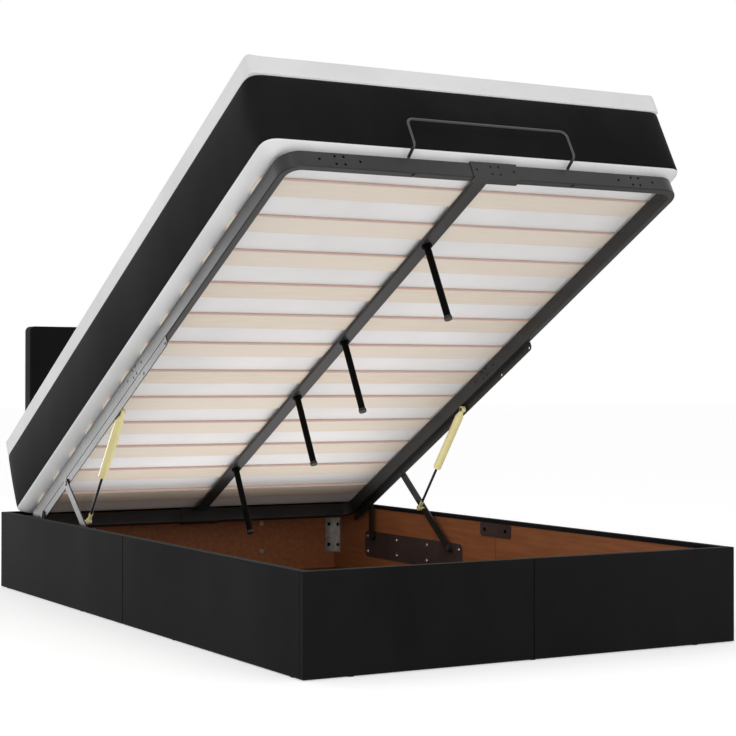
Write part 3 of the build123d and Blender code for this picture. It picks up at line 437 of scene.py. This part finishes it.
# Mattress
# A sprung core in a sewn case: black velvet border, white woven panels above and below. The
# border swells between its two seams, and the white underside rolls up to the lower seam.
mattress_half = (0.600, 0.988)
mattress_middle_v = 0.992
mattress_bottom = 0.0503
mattress_seam_low = 0.0723
mattress_top = 0.2543
mattress_radius = 0.030
mattress_seam_inset = 0.0015
mattress_columns = 360
mattress_border_rows = 15
mattress_flat = (0.40, 0.28, 0.17, 0.09, 0.06)
mattress_roll_up = [
    (0.045, 0), (0.034, 0.0005), (0.0245, 0.0049), (0.0175, 0.0100), (0.0115, 0.0147), (0.0050, 0.0192),
]
mattress_top_flat = (0.01, 0.02, 0.05, 0.2, 0.4)
mattress_pressure = 6.0
mattress_bulge = 0.008
shell_least_radius = 0.004
cloth_frames = 20
cloth_quality = 4
least_move = 1e-9
cloth_shade_scale = 3.0
panel_dark = (0.78, 0.78, 0.78, 1)
panel_light = (0.89, 0.89, 0.89, 1)
panel_weave = (700.0, 0.0005)
border_dark = (0.0055, 0.0055, 0.0060, 1)
border_light = (0.0125, 0.0125, 0.0135, 1)
border_sheen = 0.06


def soft_shell(name, half, middle_v, radius, rows, columns, *materials):
    """A closed slab made of rings. Each row gives an inset and a level, and a ring is the plan
    outline drawn in by the inset. The corner radius shrinks with the inset down to a least value."""
    inset = rows[:, :1]
    ring_radius = np.maximum(radius - inset / 2, shell_least_radius)
    ring_u, ring_v, _ = ring_walk(half[0] - inset, half[1] - inset, ring_radius, columns)
    points = bed_place(ring_u, middle_v + ring_v, rows[:, 1:2])
    return make_mesh(name, points, tube_faces(len(rows), columns), *materials)


def puff(piece, held, pressure, reach):
    """Cloth under pressure, with the held points pinned. Each other point keeps its move's direction,
    and the length of the move is cut to the reach."""
    rest = np.empty(len(piece.data.vertices) * 3)
    piece.data.vertices.foreach_get("co", rest)
    pins = piece.vertex_groups.new(name="held")
    pins.add(np.flatnonzero(held).tolist(), 1.0, "REPLACE")
    cloth = piece.modifiers.new("cloth", "CLOTH")
    cloth.settings.use_pressure = True
    cloth.settings.uniform_pressure_force = pressure
    cloth.settings.vertex_group_mass = "held"
    cloth.settings.effector_weights.gravity = 0
    cloth.settings.quality = cloth_quality
    cloth.point_cache.frame_end = cloth_frames
    for step in range(cloth_frames):
        bpy.context.scene.frame_set(step + 1)
    swollen = np.empty_like(rest)
    simulated = piece.evaluated_get(bpy.context.evaluated_depsgraph_get())
    simulated.data.vertices.foreach_get("co", swollen)
    move = (swollen - rest).reshape(-1, 3)
    length = np.linalg.norm(move, axis=1, keepdims=True)
    move *= np.minimum(1, reach / np.maximum(length, least_move))
    piece.modifiers.remove(cloth)
    piece.vertex_groups.remove(pins)
    piece.data.vertices.foreach_set("co", (rest.reshape(-1, 3) + move).ravel())
    piece.data.update()
    bpy.context.scene.frame_set(1)


def white_cloth(name, dark, light, weave):
    """Fine woven or knitted white cloth: a fast noise of the weave's scale and height for the
    threads, over slow shading."""
    cloth = Finish(name, Sheen_Weight=0.15, Sheen_Roughness=0.5, Specular_IOR_Level=0.2)
    weave_scale, weave_height = weave
    threads = cloth.noise(cloth.place, weave_scale, detail=2.0)
    shade = cloth.noise(cloth.place, cloth_shade_scale, detail=4.0)
    tone = cloth.ramp(shade, [(0.30, dark), (0.65, light)])
    cloth.colour(cloth.mix(cloth.spread(threads, low=0.0, high=0.18), tone, dark))
    cloth.rough(cloth.spread(shade, low=0.80, high=0.92))
    cloth.bump(threads, strength=0.25, distance=weave_height)
    return cloth.material


# The rows run from the middle of the underside, round its edge to the lower seam, up the border,
# which is drawn in at both seams, and in over the top.
border_share = np.linspace(0, 1, mattress_border_rows)
border_inset = mattress_seam_inset * (1 - np.sin(border_share * np.pi))
border_level = mattress_seam_low + border_share * (mattress_top - mattress_seam_low)
mattress_rows = np.concatenate([
    [(inset, mattress_bottom) for inset in mattress_flat],
    [(inset, mattress_bottom + rise) for inset, rise in mattress_roll_up],
    np.column_stack([border_inset, border_level]),
    [(inset, mattress_top) for inset in mattress_top_flat],
])
white_panel = white_cloth("mattress_underside", panel_dark, panel_light, panel_weave)
mattress_velvet = velvet_finish("mattress_velvet", border_dark, border_light, border_sheen)
mattress = soft_shell(
    "mattress_dressed", mattress_half, mattress_middle_v, mattress_radius,
    mattress_rows, mattress_columns, white_panel, mattress_velvet,
)
border_first = len(mattress_flat) + len(mattress_roll_up)
border_last = border_first + mattress_border_rows - 1
mattress_row = np.repeat(np.arange(len(mattress_rows)), mattress_columns)
mattress_held = (mattress_row <= len(mattress_flat)) | (mattress_row == border_first)
mattress_held |= mattress_row >= border_last
puff(mattress, mattress_held, mattress_pressure, mattress_bulge)
is_border = np.zeros(len(mattress.data.polygons), np.int32)
is_border[border_first * mattress_columns:border_last * mattress_columns] = 1
mattress.data.polygons.foreach_set("material_index", is_border)
mattress_smooth = mattress.modifiers.new("smooth", "SUBSURF")
mattress_smooth.levels = mattress_smooth.render_levels = 1
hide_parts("mattress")
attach(mattress, "platform")

# Topper
# A foam slab in a knitted white case, laid on the mattress. Its edges are softly rounded, and its
# sides are squarer than the mattress's.
knit_dark = (0.73, 0.73, 0.735, 1)
knit_light = (0.87, 0.87, 0.875, 1)
knit_weave = (380.0, 0.0009)
topper_half = (0.598, 0.990)
topper_middle_v = 0.990
topper_bottom = 0.2546
topper_height = 0.053
topper_radius = 0.006
topper_columns = 360
topper_roll = 0.004
topper_flat = (0.4, 0.2, 0.08, 0.03)
topper_side_shares = (0.36, 0.5, 0.64)
topper_top_flat = np.linspace(0.03, 0.42, 12)
topper_pressure = 3.0
topper_bulge = 0.004
topper_top = topper_bottom + topper_height
topper_turn = np.linspace(0, np.pi / 2, 6)
topper_edge_in = topper_roll * (1 - np.sin(topper_turn))
topper_edge_up = topper_roll * (1 - np.cos(topper_turn))
topper_rows = np.concatenate([
    [(inset, topper_bottom) for inset in topper_flat],
    np.column_stack([topper_edge_in, topper_bottom + topper_edge_up]),
    [(0, topper_bottom + topper_height * share) for share in topper_side_shares],
    np.column_stack([topper_edge_up, topper_top - topper_edge_in]),
    [(inset, topper_top) for inset in topper_top_flat],
])
knit = white_cloth("topper_knit", knit_dark, knit_light, knit_weave)
topper = soft_shell(
    "topper_dressed", topper_half, topper_middle_v, topper_radius, topper_rows, topper_columns, knit
)
topper_row = np.repeat(np.arange(len(topper_rows)), topper_columns)
puff(topper, topper_row <= len(topper_flat), topper_pressure, topper_bulge)
topper_smooth = topper.modifiers.new("smooth", "SUBSURF")
topper_smooth.levels = topper_smooth.render_levels = 1
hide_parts("mattress_topper")
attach(topper, "platform")

# Floor, backdrop and lights
# A wide pale floor under plain soft light from all round, with a large lamp high at the front
# left, low ones in front, on the left and in the well that fill the underside, and one behind on
# the left that the steel's satin sides reflect. The world is white where the camera sees it.
floor_half = 40.0
floor_drop = 0.0002
floor_colour = (0.90, 0.90, 0.90, 1)
floor_roughness = 0.9
floor_glow = 0.40
world_level = 0.60
white = (1, 1, 1, 1)
floor_corners = np.array([(-1, -1, 0), (1, -1, 0), (1, 1, 0), (-1, 1, 0)])
floor_points = floor_corners * floor_half - (0, 0, floor_drop)
floor_mesh = make_mesh("floor", floor_points, np.array([(0, 1, 2, 3)]))
floor_paint = bpy.data.materials.new("floor_paint")
floor_paint.use_nodes = True
floor_tree = floor_paint.node_tree
floor_surface = floor_tree.nodes["Principled BSDF"]
floor_surface.inputs["Base Color"].default_value = floor_colour
floor_surface.inputs["Roughness"].default_value = floor_roughness
floor_surface.inputs["Emission Color"].default_value = white
floor_seen = floor_tree.nodes.new("ShaderNodeLightPath").outputs["Is Camera Ray"]
floor_strength = floor_tree.nodes.new("ShaderNodeMath")
floor_strength.operation = "MULTIPLY"
floor_strength.inputs[1].default_value = floor_glow
floor_tree.links.new(floor_seen, floor_strength.inputs[0])
floor_tree.links.new(floor_strength.outputs[0], floor_surface.inputs["Emission Strength"])
floor_mesh.data.materials.append(floor_paint)

world = bpy.data.worlds.new("studio")
bpy.context.scene.world = world
world.use_nodes = True
world_tree = world.node_tree
world_light = world_tree.nodes["Background"]
world_light.inputs["Color"].default_value = white
world_path = world_tree.nodes.new("ShaderNodeLightPath")
seen = world_path.outputs["Is Camera Ray"]
for other in ("Is Glossy Ray", "Is Transmission Ray"):
    either = world_tree.nodes.new("ShaderNodeMath")
    either.operation = "MAXIMUM"
    world_tree.links.new(seen, either.inputs[0])
    world_tree.links.new(world_path.outputs[other], either.inputs[1])
    seen = either.outputs[0]
world_mix = world_tree.nodes.new("ShaderNodeMapRange")
world_mix.inputs["To Min"].default_value = world_level
world_mix.inputs["To Max"].default_value = 1.0
world_tree.links.new(seen, world_mix.inputs["Value"])
world_tree.links.new(world_mix.outputs["Result"], world_light.inputs["Strength"])


def soft_lamp(name, place, aim, width, length, power):
    """An area lamp at a place, turned to face an aim point and hidden from the camera."""
    lamp = bpy.data.lights.new(name, "AREA")
    lamp.shape = "RECTANGLE"
    lamp.size, lamp.size_y = width, length
    lamp.energy = power
    holder = bpy.data.objects.new(name, lamp)
    holder.visible_camera = False
    holder.location = place
    facing = np.array(aim, float) - np.array(place, float)
    holder.rotation_euler = Vector(facing).to_track_quat("-Z", "Y").to_euler()
    bpy.context.scene.collection.objects.link(holder)


soft_lamp("key_lamp", place=(-3.5, -4.5, 4.2), aim=(0, 0, 0.5), width=3.0, length=3.0, power=50)
soft_lamp("under_lamp", place=(-0.3, -2.7, 0.12), aim=(0, -0.6, 1.0), width=1.8, length=1.8, power=19)
soft_lamp("side_lamp", place=(-2.8, 0.3, 0.12), aim=(-0.6, 0.3, 0.7), width=2.0, length=2.0, power=8)
soft_lamp("well_lamp", place=(0, -0.15, 0.26), aim=(0, -0.15, 1.0), width=1.06, length=1.6, power=4.9)
soft_lamp("rim_lamp", place=(-2.0, 4.4, 0.6), aim=(-0.5, -0.1, 0.6), width=1.7, length=1.7, power=45)

# Camera
# Stands low off the foot end, on the bed's left, as solved from the photograph's straight edges.
camera_lens = 87.23
camera_sensor = 36
camera_place = (-2.3656, -4.4374, 0.6364)
camera_yaw, camera_pitch, camera_roll = np.radians([29.602, 0.506, -0.041])
camera_data = bpy.data.cameras.new("camera")
camera_data.lens = camera_lens
camera_data.sensor_width = camera_sensor
camera = bpy.data.objects.new("camera", camera_data)
camera.location = camera_place
camera.rotation_euler = (np.pi / 2 + camera_pitch, camera_roll, -camera_yaw)
bpy.context.scene.collection.objects.link(camera)
bpy.context.scene.camera = camera
bpy.context.scene.view_settings.view_transform = "Standard"
